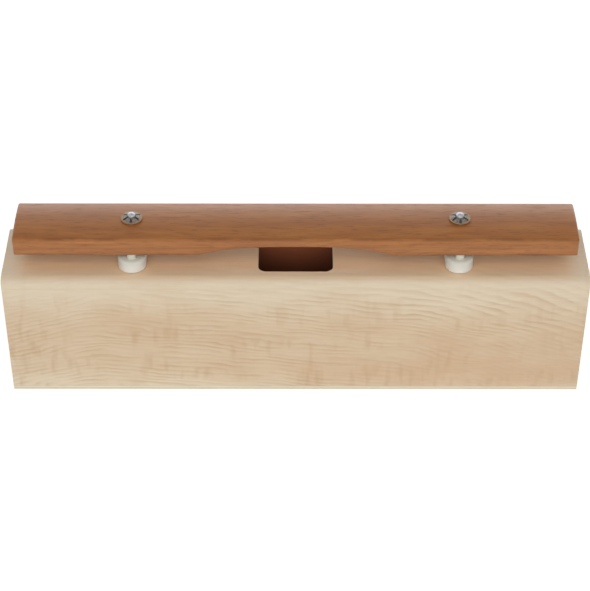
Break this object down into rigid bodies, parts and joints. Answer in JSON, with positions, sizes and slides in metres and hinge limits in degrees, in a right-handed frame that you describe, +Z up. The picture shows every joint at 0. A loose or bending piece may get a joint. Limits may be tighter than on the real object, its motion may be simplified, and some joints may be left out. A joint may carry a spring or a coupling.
{
  "type": "resonator bar",
  "caption": "Tuned hardwood chime bar with an arched underside, pinned on soft bridges over a hollow maple resonator box with a sound hole.",
  "frame": {"origin": "middle of the box's underside, where it stands on a table", "axes": "+X along the bar, +Y from the front panel to the back panel, +Z up"},
  "size_m": [0.4, 0.0604, 0.1345],
  "materials": {
    "maple": "pale maple under a clear satin lacquer",
    "plywood": "thin pale plywood, sanded",
    "bar_hardwood": "red-brown hardwood, oiled",
    "white_rubber": "white moulded rubber, matt",
    "dark_rubber": "black tube, matt",
    "pin_steel": "bright plated steel",
    "spring_steel": "zinc plated spring steel"
  },
  "bodies": {
    "box": {"front_panel": "maple", "back_panel": "maple", "left_end_panel": "maple", "right_end_panel": "maple", "top_panel": "maple", "bottom_panel": "plywood", "pin_block_left": "maple", "pin_block_right": "maple", "pin_left": "pin_steel", "pin_right": "pin_steel", "bridge_left": "white_rubber", "bridge_right": "white_rubber", "star_ring_left": "spring_steel", "star_ring_right": "spring_steel"},
    "bar": {"tone_bar": "bar_hardwood", "sleeve_left": "dark_rubber", "sleeve_right": "dark_rubber"}
  },
  "joints": [
    {"name": "bar_float", "type": "slide", "parent": "box", "child": "bar", "axis": [0, 0, 1], "range_m": [0, 0.0005]}
  ]
}
